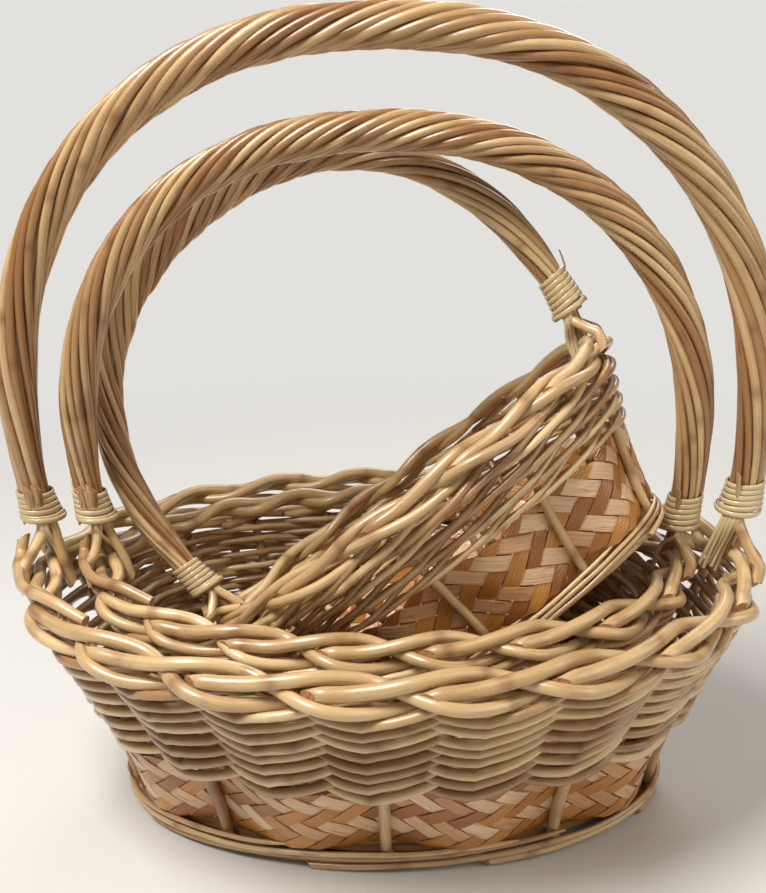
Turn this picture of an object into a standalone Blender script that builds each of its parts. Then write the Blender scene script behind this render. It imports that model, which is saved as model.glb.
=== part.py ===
"""A nest of three oval willow baskets: large, medium and small.

Each basket has a base board, a ring of stakes turned under it as a foot, a band of flat
chips, rows of woven rods, a plaited border and a rope-twisted hoop handle bound with cane.
The medium basket stands in the large one. The small one lies tipped in the medium one.
Metres, +Z up, origin under the middle of the large basket, X along the handles.
"""
import math
from collections import namedtuple

import bmesh
import bpy
from mathutils import Matrix, Vector

# Small basket, the innermost, which the others are sized to hold
SMALL_RIM_LENGTH = 0.308
SMALL_RIM_WIDTH = 0.2150
SMALL_HEIGHT = 0.116
SMALL_END_FLARE = 0.038
SMALL_SIDE_FLARE = 0.0455
SMALL_CHIP_HEIGHT = 0.050
SMALL_STAKE = 0.0052
SMALL_WALE_ROD = 0.0039
SMALL_BORDER_ROD = 0.0074
SMALL_FOOT_ROD = 0.0072
SMALL_HANDLE_INSET = 0.0075
SMALL_HANDLE_TOP = 0.322
SMALL_HANDLE_WIDEST = 0.166
SMALL_HANDLE_THICKNESS = 0.020
SMALL_WALE_ROWS = 7
SMALL_HANDLE_SEAT_SHARE = 0.05
SMALL_TILT = math.radians(38)
SMALL_LEAN = math.radians(12.0)
SMALL_TURN = math.radians(0.5)

# Medium basket, with room for the small one to lie tipped in it
MEDIUM_END_ROOM = 0.1373
MEDIUM_SIDE_ROOM = 0.0155
MEDIUM_RIM_LENGTH = SMALL_RIM_LENGTH * math.cos(SMALL_TILT) + MEDIUM_END_ROOM
MEDIUM_RIM_WIDTH = SMALL_RIM_WIDTH + 2 * MEDIUM_SIDE_ROOM
MEDIUM_HEIGHT = 0.158
MEDIUM_END_FLARE = 0.047
MEDIUM_SIDE_FLARE = 0.050
MEDIUM_CHIP_HEIGHT = 0.048
MEDIUM_STAKE = 0.0062
MEDIUM_WALE_ROD = 0.0062
MEDIUM_BORDER_ROD = 0.0084
MEDIUM_FOOT_ROD = 0.0084
MEDIUM_HANDLE_INSET = 0.006
MEDIUM_HANDLE_TOP = 0.415
MEDIUM_HANDLE_WIDEST = 0.222
MEDIUM_HANDLE_THICKNESS = 0.023
MEDIUM_WALE_ROWS = 8
MEDIUM_HANDLE_SEAT_SHARE = 0.16

# Large basket, with room for the medium one to stand in it
LARGE_END_ROOM = 0.040
LARGE_SIDE_ROOM = 0.038
LARGE_RIM_LENGTH = MEDIUM_RIM_LENGTH + 2 * LARGE_END_ROOM
LARGE_RIM_WIDTH = MEDIUM_RIM_WIDTH + 2 * LARGE_SIDE_ROOM
LARGE_HEIGHT = 0.171
LARGE_END_FLARE = 0.055
LARGE_SIDE_FLARE = 0.068
LARGE_CHIP_HEIGHT = 0.052
LARGE_STAKE = 0.0070
LARGE_WALE_ROD = 0.0066
LARGE_BORDER_ROD = 0.0092
LARGE_FOOT_ROD = 0.0090
LARGE_HANDLE_INSET = 0.011
LARGE_HANDLE_TOP = 0.4825
LARGE_HANDLE_WIDEST = 0.248
LARGE_HANDLE_THICKNESS = 0.025
LARGE_WALE_ROWS = 8
LARGE_HANDLE_SEAT_SHARE = 0.05

# Shared by the three baskets
STAKES = 18
TOUCH_GAP = 0.0003
BOARD_THICKNESS = 0.0045
CHIP_THICKNESS = 0.0012
CHIP_CLEARANCE = 0.0008
FLOOR_CUT = 0.0009
FLARE_EXPONENT = 1.45
PLAIT_WIDTH_SHARE = 1.15
PLAIT_DEPTH_SHARE = 0.72
PLAIT_START_SHARE = 1 / 12
PLAIT_TILT = math.radians(45)
PLAIT_POINTS_PER_STAKE = 4
STAKE_SEAT_SHARE = 0.69
WALE_SEAT_SHARE = 0.28
STRANDS = 3
HANDLE_SQUARENESS = 2.2
HANDLE_STATIONS = 32
HANDLE_RODS = 6
HANDLE_GROOVE_SHARE = 0.16
HANDLE_TURNS = 3.2
HANDLE_TWIST_EASE_SHARE = 0.6
HANDLE_FOOT_SHARE = 0.88
HANDLE_TAPER_LENGTH_SHARE = 1 / 8
BINDING_CANE = 0.0030
BINDING_CLEARANCE = 0.0005
BINDING_LEAST_GAP = 0.0006
BINDING_LIFT = 0.012
BINDING_TURNS = 5
BINDING_POINTS_PER_TURN = 12
WELD_SHARE = 1 / 30
FINE_STEPS = 720
MILLIMETRES = 1000

# Rest poses inside the nest, and the axis about which each inner basket is tipped out
MEDIUM_TIP_AXIS_CLEARANCE = 0.059
MEDIUM_TIP_AXIS_Z = 0.085
SMALL_SEAT_ROOM = 0.0176
SMALL_SEAT_Y = -0.0194
SMALL_SEAT_DEPTH = 0.0446
SMALL_ROCK_AXIS_X = -0.048
SMALL_ROCK_AXIS_Z = 0.244

Basket = namedtuple("Basket", "name rim_length rim_width height end_flare side_flare chip_height "
                    "stake wale border foot handle_inset top widest thickness wale_rows seat_share")

LARGE = Basket("large", LARGE_RIM_LENGTH, LARGE_RIM_WIDTH, LARGE_HEIGHT, LARGE_END_FLARE,
               LARGE_SIDE_FLARE, LARGE_CHIP_HEIGHT, LARGE_STAKE, LARGE_WALE_ROD,
               LARGE_BORDER_ROD, LARGE_FOOT_ROD, LARGE_HANDLE_INSET, LARGE_HANDLE_TOP,
               LARGE_HANDLE_WIDEST, LARGE_HANDLE_THICKNESS, LARGE_WALE_ROWS,
               LARGE_HANDLE_SEAT_SHARE)
MEDIUM = Basket("medium", MEDIUM_RIM_LENGTH, MEDIUM_RIM_WIDTH, MEDIUM_HEIGHT, MEDIUM_END_FLARE,
                MEDIUM_SIDE_FLARE, MEDIUM_CHIP_HEIGHT, MEDIUM_STAKE, MEDIUM_WALE_ROD,
                MEDIUM_BORDER_ROD, MEDIUM_FOOT_ROD, MEDIUM_HANDLE_INSET, MEDIUM_HANDLE_TOP,
                MEDIUM_HANDLE_WIDEST, MEDIUM_HANDLE_THICKNESS, MEDIUM_WALE_ROWS,
                MEDIUM_HANDLE_SEAT_SHARE)
SMALL = Basket("small", SMALL_RIM_LENGTH, SMALL_RIM_WIDTH, SMALL_HEIGHT, SMALL_END_FLARE,
               SMALL_SIDE_FLARE, SMALL_CHIP_HEIGHT, SMALL_STAKE, SMALL_WALE_ROD,
               SMALL_BORDER_ROD, SMALL_FOOT_ROD, SMALL_HANDLE_INSET, SMALL_HANDLE_TOP,
               SMALL_HANDLE_WIDEST, SMALL_HANDLE_THICKNESS, SMALL_WALE_ROWS,
               SMALL_HANDLE_SEAT_SHARE)


def clear_scene():
    for old in list(bpy.data.objects):
        bpy.data.objects.remove(old, do_unlink=True)


def new_collection(name):
    collection = bpy.data.collections.new(name)
    bpy.context.scene.collection.children.link(collection)
    return collection


def finish(name, colour, roughness):
    """A varnished wood finish as a Principled material."""
    material = bpy.data.materials.new(name)
    material.use_nodes = True
    shader = material.node_tree.nodes["Principled BSDF"]
    shader.inputs["Base Color"].default_value = (*colour, 1)
    shader.inputs["Roughness"].default_value = roughness
    shader.inputs["Metallic"].default_value = 0
    return material


def base_axes(basket):
    """Half length and half width of the foot, which the flare of the wall leaves under the rim."""
    return basket.rim_length / 2 - basket.end_flare, basket.rim_width / 2 - basket.side_flare


def foot_top(basket):
    """Height of the crest of the foot ring, where the base board lies."""
    return basket.foot - FLOOR_CUT + TOUCH_GAP


def board_top(basket):
    return foot_top(basket) + BOARD_THICKNESS


def chip_bottom(basket):
    """The chip band starts above the foot rod, which lies on the foot ring."""
    return foot_top(basket) + basket.stake + TOUCH_GAP


def chip_top(basket):
    return chip_bottom(basket) + basket.chip_height


def plait_offset(basket, turn):
    """Outward and upward offset of a border strand from the middle of the plait."""
    across = PLAIT_WIDTH_SHARE * basket.border * math.sin(turn)
    proud = PLAIT_DEPTH_SHARE * basket.border * math.sin(2 * turn)
    outward = -across * math.cos(PLAIT_TILT) + proud * math.sin(PLAIT_TILT)
    upward = across * math.sin(PLAIT_TILT) + proud * math.cos(PLAIT_TILT)
    return outward, upward


def plait_turn(step):
    """Angle through the plait's wave at a step round the rim, STRANDS stakes to a wave."""
    return 2 * math.pi * (step / (PLAIT_POINTS_PER_STAKE * STRANDS) + PLAIT_START_SHARE)


def plait_reach(basket):
    """How far the plait reaches outward, up and down from its middle, rods included."""
    steps = range(PLAIT_POINTS_PER_STAKE * STRANDS)
    offsets = [plait_offset(basket, plait_turn(step)) for step in steps]
    outward = max(out for out, _ in offsets) + basket.border / 2
    upward = max(up for _, up in offsets) + basket.border / 2
    downward = -min(up for _, up in offsets) + basket.border / 2
    return outward, upward, downward


def border_middle_height(basket):
    return basket.height - plait_reach(basket)[1]


def border_bottom(basket):
    """Height of the plait's lowest turns, above which the stake ends still reach."""
    return border_middle_height(basket) - plait_reach(basket)[2]


def stake_top(basket):
    return border_bottom(basket) + STAKE_SEAT_SHARE * basket.border


def stake_bends(basket):
    """Heights where the stakes bend: over the foot ring, at the top of the chips, at the border."""
    low = basket.foot / 2 - FLOOR_CUT
    middle = (chip_top(basket) + stake_top(basket)) / 2
    return low, foot_top(basket), chip_top(basket), middle, stake_top(basket)


def flare_axes(basket, height):
    """Half length and half width of the wall's flare, where a stake bends."""
    foot_axes = [half - basket.foot / 2 for half in base_axes(basket)]
    rise = (height - foot_top(basket)) / (stake_top(basket) - foot_top(basket))
    flare = max(rise, 0) ** FLARE_EXPONENT
    return [foot + (rim - foot) * flare for foot, rim in zip(foot_axes, rim_axes(basket))]


def wall_stretch(basket, height):
    """The stretch of wall that holds a height: its two ends, with the axes at each."""
    bends = stake_bends(basket)
    upper = 1
    while upper < len(bends) - 1 and height > bends[upper]:
        upper += 1
    low, high = bends[upper - 1], bends[upper]
    return low, high, flare_axes(basket, low), flare_axes(basket, high)


def wall_axes(basket, height):
    """Half length and half width of the ring of stakes, straight from bend to bend."""
    low, high, below, above = wall_stretch(basket, height)
    share = (height - low) / (high - low)
    return [start + (end - start) * share for start, end in zip(below, above)]


def rim_axes(basket):
    """Half length and half width of the plait's middle line."""
    outward = plait_reach(basket)[0]
    return basket.rim_length / 2 - outward, basket.rim_width / 2 - outward


def even_steps(points, shares):
    """Places along a fine line at shares of its length, as fractions of an index."""
    length = [0]
    for before, after in zip(points, points[1:]):
        length.append(length[-1] + (after - before).length)
    places = []
    i = 0
    for share in shares:
        target = length[-1] * share
        while i < len(points) - 2 and length[i + 1] < target:
            i += 1
        places.append(i + (target - length[i]) / (length[i + 1] - length[i]))
    return places


def rim_angles(basket, per_stake):
    """Angles at equal steps round the rim, per_stake of them to a stake, none at the two ends."""
    half_length, half_width = rim_axes(basket)
    turns = [2 * math.pi * i / FINE_STEPS for i in range(FINE_STEPS + 1)]
    rim = [Vector((half_length * math.cos(turn), half_width * math.sin(turn), 0)) for turn in turns]
    shares = [(step / per_stake + 1 / 2) / STAKES for step in range(STAKES * per_stake)]
    return [2 * math.pi * place / FINE_STEPS for place in even_steps(rim, shares)]


def wall_point(basket, angle, height, outward):
    """A point beside the ring of stakes, outward being square to the sloping wall there."""
    low, high, below, above = wall_stretch(basket, height)
    half_length, half_width = wall_axes(basket, height)
    level = Vector((half_width * math.cos(angle), half_length * math.sin(angle), 0)).normalized()
    growth = Vector(((above[0] - below[0]) * math.cos(angle), (above[1] - below[1]) * math.sin(angle), 0))
    slope = growth.dot(level) / (high - low)
    normal = (level - Vector((0, 0, slope))).normalized()
    place = Vector((half_length * math.cos(angle), half_width * math.sin(angle), height))
    return place + normal * outward


def link_mesh(name, mesh, material, collection):
    part = bpy.data.objects.new(name, mesh)
    mesh.materials.clear()
    mesh.materials.append(material)
    collection.objects.link(part)
    return part


def rod_curve(name, points, diameter, closed, roundness=0):
    """A rod along points, as a curve with four sides, or more for a greater roundness."""
    curve = bpy.data.curves.new(name, "CURVE")
    curve.dimensions = "3D"
    curve.twist_mode = "Z_UP" if closed else "MINIMUM"
    curve.bevel_depth = diameter / 2
    curve.bevel_resolution = roundness
    curve.use_fill_caps = not closed
    spline = curve.splines.new("POLY")
    spline.points.add(len(points) - 1)
    for place, point in zip(points, spline.points):
        point.co = (*place, 1)
    spline.use_cyclic_u = closed
    return curve


def mesh_of(curve, name):
    """The closed mesh of a curve, with its caps welded on and its faces outward."""
    holder = bpy.data.objects.new(name, curve)
    bpy.context.scene.collection.objects.link(holder)
    evaluated = holder.evaluated_get(bpy.context.evaluated_depsgraph_get())
    mesh = bpy.data.meshes.new_from_object(evaluated)
    bpy.data.objects.remove(holder, do_unlink=True)
    shape = bmesh.new()
    shape.from_mesh(mesh)
    bmesh.ops.remove_doubles(shape, verts=shape.verts, dist=TOUCH_GAP * WELD_SHARE)
    bmesh.ops.recalc_face_normals(shape, faces=shape.faces)
    shape.to_mesh(mesh)
    shape.free()
    mesh.name = name
    return mesh


def rod(name, points, diameter, closed, material, collection, roundness=0):
    mesh = mesh_of(rod_curve(name, points, diameter, closed, roundness), name)
    mesh.shade_smooth()
    return link_mesh(name, mesh, material, collection)


def combine(part, helper, operation):
    """A Boolean of the part with a helper solid."""
    modifier = part.modifiers.new(helper.name, "BOOLEAN")
    modifier.operation = operation
    modifier.solver = "EXACT"
    modifier.object = helper


def apply_modifiers(part, helpers):
    """Keeps the part's evaluated mesh, after which its helper solids are not needed."""
    evaluated = part.evaluated_get(bpy.context.evaluated_depsgraph_get())
    mesh = bpy.data.meshes.new_from_object(evaluated)
    part.modifiers.clear()
    part.data = mesh
    for helper in helpers:
        bpy.data.objects.remove(helper, do_unlink=True)


def make_board(basket, material, collection):
    """Oval plywood board inside the ring of stakes, lying on the foot ring."""
    half_length, half_width = wall_axes(basket, foot_top(basket))
    inset = basket.stake / 2 + TOUCH_GAP
    curve = bpy.data.curves.new(basket.name + "_base_board", "CURVE")
    curve.dimensions = "2D"
    curve.fill_mode = "BOTH"
    curve.extrude = BOARD_THICKNESS / 2
    spline = curve.splines.new("POLY")
    angles = rim_angles(basket, 2)
    spline.points.add(len(angles) - 1)
    for angle, point in zip(angles, spline.points):
        point.co = ((half_length - inset) * math.cos(angle), (half_width - inset) * math.sin(angle), 0, 1)
    spline.use_cyclic_u = True
    mesh = mesh_of(curve, basket.name + "_base_board")
    mesh.transform(Matrix.Translation((0, 0, foot_top(basket) + BOARD_THICKNESS / 2)))
    return link_mesh(basket.name + "_base_board", mesh, material, collection)


def stake_line(basket, angle):
    """The way of one stake: up out of the foot ring, along the flare, to the border."""
    return [wall_point(basket, angle, height, 0) for height in stake_bends(basket)]


def stake_bars(basket, material, cutters):
    """The stakes as separate bars, before they are joined to the foot ring."""
    name = basket.name + "_stake_bars"
    bars = bmesh.new()
    for angle in rim_angles(basket, 1):
        piece = mesh_of(rod_curve(name, stake_line(basket, angle), basket.stake, False), name)
        bars.from_mesh(piece)
        bpy.data.meshes.remove(piece)
    mesh = bpy.data.meshes.new(name)
    bars.to_mesh(mesh)
    bars.free()
    return link_mesh(name, mesh, material, cutters)


def floor_block(basket, material, cutters):
    """The block below the floor, which cuts the foot ring flat."""
    name = basket.name + "_floor_block"
    mesh = bpy.data.meshes.new(name)
    block = bmesh.new()
    bmesh.ops.create_cube(block, size=1)
    bmesh.ops.scale(block, vec=(basket.rim_length, basket.rim_width, basket.foot), verts=block.verts)
    bmesh.ops.translate(block, vec=(0, 0, -basket.foot / 2), verts=block.verts)
    block.to_mesh(mesh)
    block.free()
    return link_mesh(name, mesh, material, cutters)


def make_stakes(basket, material, collection, cutters):
    """All the stakes and the ring they turn into under the board, one body, flat below."""
    name = basket.name + "_stakes_and_foot"
    centre = basket.foot / 2 - FLOOR_CUT
    points = [wall_point(basket, angle, centre, 0) for angle in rim_angles(basket, 2)]
    ring = rod(name, points, basket.foot, True, material, collection, 1)
    bars = stake_bars(basket, material, cutters)
    block = floor_block(basket, material, cutters)
    combine(ring, bars, "UNION")
    combine(ring, block, "DIFFERENCE")
    apply_modifiers(ring, (bars, block))
    return ring


def stake_bow(basket, height, angles, k, rod_size, crossing):
    """Offset at which a rod bends round stake k and clears it, crossing the wall or not."""
    before = wall_point(basket, angles[k - 1], height, 0)
    here = wall_point(basket, angles[k], height, 0)
    after = wall_point(basket, angles[(k + 1) % len(angles)], height, 0)
    clear = (basket.stake + rod_size) / 2 + TOUCH_GAP
    bend = (here - before).angle(after - here) / 2
    if crossing:
        bend += math.atan(2 * clear / (after - here).length)
    return clear / math.cos(bend)


def woven_points(basket, height, phase):
    """One woven rod: outside one stake and inside the next, at one height."""
    angles = rim_angles(basket, 1)
    points = []
    for k, angle in enumerate(angles):
        reach = stake_bow(basket, height, angles, k, basket.wale, True)
        side = reach if (k + phase) % 2 == 0 else -reach
        points.append(wall_point(basket, angle, height, side))
    return points


def make_foot_rod(basket, material, collection):
    """The rod laid round the outside of the stakes between the foot ring and the chips."""
    height = foot_top(basket) + basket.stake / 2
    angles = rim_angles(basket, 1)
    points = []
    for k, angle in enumerate(angles):
        reach = stake_bow(basket, height, angles, k, basket.stake, False)
        points.append(wall_point(basket, angle, height, reach))
    return rod(basket.name + "_foot_rod", points, basket.stake, True, material, collection)


def make_wales(basket, material, collection):
    """The rows of woven rods between the chip band, which the lowest clears, and the border."""
    low = chip_top(basket) + TOUCH_GAP + basket.wale
    high = border_bottom(basket) + WALE_SEAT_SHARE * basket.border - basket.wale / 2
    rows = []
    for row in range(basket.wale_rows):
        height = low + (high - low) * row / (basket.wale_rows - 1)
        name = "%s_wale_rod_%d" % (basket.name, row + 1)
        points = woven_points(basket, height, row + 1)
        rows.append(rod(name, points, basket.wale, True, material, collection))
    return rows


def make_chip_band(basket, material, collection):
    """A closed band of flat chips, behind one stake and in front of the next."""
    reach = basket.stake / 2 + CHIP_THICKNESS / 2 + CHIP_CLEARANCE
    band = bmesh.new()
    rings = []
    for height in (chip_bottom(basket), chip_top(basket)):
        ring = []
        for k, angle in enumerate(rim_angles(basket, 2)):
            weave = (0, reach, 0, -reach)[(k + 1) % 4]
            ring.append(band.verts.new(wall_point(basket, angle, height, weave)))
        rings.append(ring)
    low, high = rings
    for k in range(len(low)):
        after = (k + 1) % len(low)
        band.faces.new((low[k], low[after], high[after], high[k]))
    mesh = bpy.data.meshes.new(basket.name + "_chip_band")
    band.to_mesh(mesh)
    band.free()
    part = link_mesh(basket.name + "_chip_band", mesh, material, collection)
    wall = part.modifiers.new("chip_thickness", "SOLIDIFY")
    wall.thickness = CHIP_THICKNESS
    wall.offset = 0
    wall.use_even_offset = True
    return part


def make_border(basket, material, collection):
    """Three strands plaited over the stake ends, three stakes to each wave."""
    strands = []
    middle = border_middle_height(basket)
    half_length, half_width = rim_axes(basket)
    angles = rim_angles(basket, PLAIT_POINTS_PER_STAKE)
    for strand in range(STRANDS):
        points = []
        for k, angle in enumerate(angles):
            out, up = plait_offset(basket, plait_turn(k) + 2 * math.pi * strand / STRANDS)
            normal = Vector((half_width * math.cos(angle), half_length * math.sin(angle), 0)).normalized()
            place = Vector((half_length * math.cos(angle), half_width * math.sin(angle), middle + up))
            points.append(place + normal * out)
        name = "%s_border_rod_%d" % (basket.name, strand + 1)
        strands.append(rod(name, points, basket.border, True, material, collection))
    return strands


def handle_reach(basket):
    """Half the span of the handle's middle line at its widest."""
    return basket.rim_length / 2 - basket.handle_inset


def hoop_rise(basket):
    """Height of the handle's middle line over its widest place."""
    return basket.top - basket.thickness / 2 - basket.widest


def hoop_point(basket, angle):
    """A point on the middle line of the handle, a hoop with full shoulders."""
    power = 2 / HANDLE_SQUARENESS
    across = math.copysign(abs(math.cos(angle)) ** power, math.cos(angle))
    above = math.copysign(abs(math.sin(angle)) ** power, math.sin(angle))
    return Vector((handle_reach(basket) * across, 0, basket.widest + hoop_rise(basket) * above))


def hoop_foot_angle(basket, height):
    """The hoop's angle below its widest place at which it comes down to a height."""
    drop_share = (basket.widest - height) / hoop_rise(basket)
    return math.asin(drop_share ** (HANDLE_SQUARENESS / 2))


def hoop_stations(basket):
    """Evenly spaced points along the handle from its right foot to its left foot."""
    low = hoop_foot_angle(basket, basket.height - basket.seat_share * basket.border)
    sweep = math.pi + 2 * low
    fine = [hoop_point(basket, -low + sweep * k / FINE_STEPS) for k in range(FINE_STEPS + 1)]
    shares = [k / HANDLE_STATIONS for k in range(HANDLE_STATIONS + 1)]
    places = even_steps(fine, shares)
    return [hoop_point(basket, -low + sweep * place / FINE_STEPS) for place in places]


def rope_outline(basket, cutters):
    """The handle's section: the backs of the twisted rods, with grooves between them."""
    outline = bpy.data.curves.new(basket.name + "_rope_outline", "CURVE")
    outline.dimensions = "2D"
    spline = outline.splines.new("POLY")
    count = HANDLE_RODS * 2
    spline.points.add(count - 1)
    radius = basket.thickness / 2
    for k, point in enumerate(spline.points):
        reach = radius if k % 2 == 0 else radius * (1 - HANDLE_GROOVE_SHARE)
        angle = 2 * math.pi * k / count
        point.co = (reach * math.cos(angle), reach * math.sin(angle), 0, 1)
    spline.use_cyclic_u = True
    guide = bpy.data.objects.new(basket.name + "_rope_outline", outline)
    cutters.objects.link(guide)
    return guide


def handle_twist(share):
    """Turn of the handle's rods at a share of its length, slower towards the two feet."""
    return HANDLE_TURNS * (2 * math.pi * share - HANDLE_TWIST_EASE_SHARE * math.sin(2 * math.pi * share))


def handle_swell(share):
    """Thickness of the handle at a share of its length, as a share of its full thickness."""
    taper = min(share, 1 - share) / HANDLE_TAPER_LENGTH_SHARE
    return min(1, HANDLE_FOOT_SHARE + (1 - HANDLE_FOOT_SHARE) * taper)


def make_handle(basket, material, collection, cutters):
    """The hoop handle: rods twisted like a rope, running straight at the two feet."""
    name = basket.name + "_handle"
    guide = rope_outline(basket, cutters)
    curve = rod_curve(name, hoop_stations(basket), basket.thickness, False)
    curve.bevel_mode = "OBJECT"
    curve.bevel_object = guide
    for k, point in enumerate(curve.splines[0].points):
        point.tilt = -handle_twist(k / HANDLE_STATIONS)
        point.radius = handle_swell(k / HANDLE_STATIONS)
    mesh = mesh_of(curve, name)
    part = link_mesh(name, mesh, material, collection)
    bpy.data.objects.remove(guide, do_unlink=True)
    return part


def binding_points(basket, side):
    """The cane wound round one foot of the handle, an unbroken helix of BINDING_TURNS."""
    start = basket.height + BINDING_LIFT
    pitch = BINDING_CANE + BINDING_LEAST_GAP
    radius = basket.thickness / 2 + BINDING_CLEARANCE + BINDING_CANE / 2
    count = BINDING_TURNS * BINDING_POINTS_PER_TURN
    points = []
    for k in range(count + 1):
        turn = 2 * math.pi * k / BINDING_POINTS_PER_TURN
        height = start + pitch * k / BINDING_POINTS_PER_TURN
        reach = hoop_point(basket, -hoop_foot_angle(basket, height)).x + radius * math.cos(turn)
        points.append(Vector((side * reach, radius * math.sin(turn), height)))
    return points


def least_gap(points, diameter, points_per_turn):
    """The least clear gap between one turn of a winding and the next."""
    spans = [(points[i + points_per_turn + near] - points[i]).length
             for i in range(len(points) - points_per_turn - 1) for near in (-1, 0, 1)]
    return min(spans) - diameter


def make_binding(basket, side, label, material, collection):
    """The split cane that binds one foot of the handle, with its least gap printed."""
    points = binding_points(basket, side)
    gap = least_gap(points, BINDING_CANE, BINDING_POINTS_PER_TURN)
    name = "%s_binding_%s" % (basket.name, label)
    print("%s: least gap between turns %.2f mm" % (name, gap * MILLIMETRES))
    return rod(name, points, BINDING_CANE, False, material, collection)


def make_basket(basket, collection, cutters, finishes):
    """All the pieces of one basket, standing at the origin."""
    willow, chip, board, cane = finishes
    return [make_board(basket, board, collection),
            make_stakes(basket, willow, collection, cutters),
            make_foot_rod(basket, willow, collection),
            make_chip_band(basket, chip, collection),
            *make_wales(basket, willow, collection),
            *make_border(basket, willow, collection),
            make_handle(basket, willow, collection, cutters),
            make_binding(basket, 1, "right", cane, collection),
            make_binding(basket, -1, "left", cane, collection)]


def axis_empty(name, place, collection):
    """An empty on a joint's axis, which carries the basket that turns there."""
    empty = bpy.data.objects.new(name, None)
    empty.location = place
    collection.objects.link(empty)
    return empty


def carry(pieces, empty, placement):
    """Hangs the pieces on an empty, at a placement given in the world."""
    for piece in pieces:
        piece.parent = empty
        piece.matrix_local = Matrix.Translation(-empty.location) @ placement


def medium_placement():
    """The medium basket's rest: upright, on the board of the large one."""
    return Matrix.Translation((0, 0, board_top(LARGE) + TOUCH_GAP))


def small_placement():
    """The small basket's rest: its rim in the medium one's, its foot up against that handle."""
    foot_reach = base_axes(SMALL)[0] * math.cos(SMALL_TILT)
    seat_x = handle_reach(MEDIUM) - SMALL_SEAT_ROOM - foot_reach
    seat_z = medium_placement().translation.z + MEDIUM.height - SMALL_SEAT_DEPTH
    tilt = Matrix.Rotation(-SMALL_TILT, 4, "Y")
    lean = Matrix.Rotation(-SMALL_LEAN, 4, "X")
    turn = Matrix.Rotation(SMALL_TURN, 4, "Z")
    seat = Matrix.Translation((seat_x, SMALL_SEAT_Y, seat_z))
    return seat @ turn @ tilt @ lean


def build():
    clear_scene()
    collection = new_collection("willow_basket_nest")
    cutters = new_collection("guides")
    finishes = (finish("varnished_willow", (0.62, 0.38, 0.16), 0.38),
                finish("wood_chip", (0.60, 0.32, 0.13), 0.50),
                finish("plywood", (0.55, 0.36, 0.19), 0.60),
                finish("split_cane", (0.74, 0.56, 0.30), 0.35))
    make_basket(LARGE, collection, cutters, finishes)
    medium_axis_place = (0, -LARGE.rim_width / 2 - MEDIUM_TIP_AXIS_CLEARANCE, MEDIUM_TIP_AXIS_Z)
    medium_axis = axis_empty("medium_basket_axis", medium_axis_place, collection)
    medium = make_basket(MEDIUM, collection, cutters, finishes)
    carry(medium, medium_axis, medium_placement())
    small_axis_place = (SMALL_ROCK_AXIS_X, SMALL_SEAT_Y, SMALL_ROCK_AXIS_Z)
    small_axis = axis_empty("small_basket_axis", small_axis_place, collection)
    small = make_basket(SMALL, collection, cutters, finishes)
    carry(small, small_axis, small_placement())
    carry([small_axis], medium_axis, Matrix.Translation(small_axis.location))


build()
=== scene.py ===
"""The looks of a nest of three oval willow baskets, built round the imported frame."""

import math
import random

import bpy
from mathutils import Matrix, Vector, noise


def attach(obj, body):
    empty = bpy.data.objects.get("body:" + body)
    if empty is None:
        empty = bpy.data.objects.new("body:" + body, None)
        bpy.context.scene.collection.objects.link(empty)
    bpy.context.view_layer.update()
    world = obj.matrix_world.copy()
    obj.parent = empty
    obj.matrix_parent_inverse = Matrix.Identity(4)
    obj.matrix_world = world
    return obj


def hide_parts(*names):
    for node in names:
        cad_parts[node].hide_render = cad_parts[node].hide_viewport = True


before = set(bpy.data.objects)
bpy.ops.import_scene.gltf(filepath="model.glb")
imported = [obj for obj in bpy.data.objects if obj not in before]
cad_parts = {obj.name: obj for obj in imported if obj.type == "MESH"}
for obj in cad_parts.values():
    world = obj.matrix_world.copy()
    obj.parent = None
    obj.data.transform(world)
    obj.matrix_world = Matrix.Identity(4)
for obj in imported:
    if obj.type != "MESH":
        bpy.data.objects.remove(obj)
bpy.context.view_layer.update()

# Oval wall.
# A basket's wall is an oval willow tube that flares from its foot to its border, held by stakes.
# Each rod is placed on it by stakes gone round from the +X end, by height and by offset outwards.
BASKETS = {name: {"label": name} for name in ("large", "medium", "small")}
STAKES = 18
FLARE = 1.45
TOUCH_GAP = 0.0003
FOOT_SUNK = 0.0009
STAKE_SEAT_SHARE = 0.69
BORDER_REACH_SHARE = 1.645
SPOTS_PER_STAKE = 8
FINE_STEPS = 1440
PROBE = 0.001


def give(**rows):
    """Gives the baskets more sizes, each as a row for large, medium and small."""
    for label, row in rows.items():
        for basket, value in zip(BASKETS.values(), row):
            basket[label] = value


# Rim and base are half a length and half a width. The small basket lies tipped and leaning.
give(rim=((0.2300, 0.1610), (0.1900, 0.1230), (0.1540, 0.1075)),
     base=((0.1750, 0.0930), (0.1430, 0.0730), (0.1160, 0.0620)),
     height=(0.171, 0.158, 0.116),
     chips=(0.052, 0.048, 0.050),
     stake=(0.0070, 0.0062, 0.0052),
     border=(0.0092, 0.0084, 0.0074),
     foot=(0.0090, 0.0084, 0.0072),
     place=(Matrix.Identity(4),
            Matrix.Translation((0, 0, 0.0132)),
            Matrix.Translation((0.0750, -0.0194, 0.1266))
            @ Matrix.Rotation(math.radians(0.5), 4, "Z")
            @ Matrix.Rotation(math.radians(-38), 4, "Y")
            @ Matrix.Rotation(math.radians(-12), 4, "X")))


def foot_top(b):
    return b["foot"] - FOOT_SUNK + TOUCH_GAP


def chip_bottom(b):
    return foot_top(b) + b["stake"] + TOUCH_GAP


def chip_top(b):
    return chip_bottom(b) + b["chips"]


def border_bottom(b):
    return b["height"] - 2 * BORDER_REACH_SHARE * b["border"]


def rim_axes(b):
    """Half length and half width of the oval that the middle of the border follows."""
    return [half - BORDER_REACH_SHARE * b["border"] for half in b["rim"]]


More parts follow.
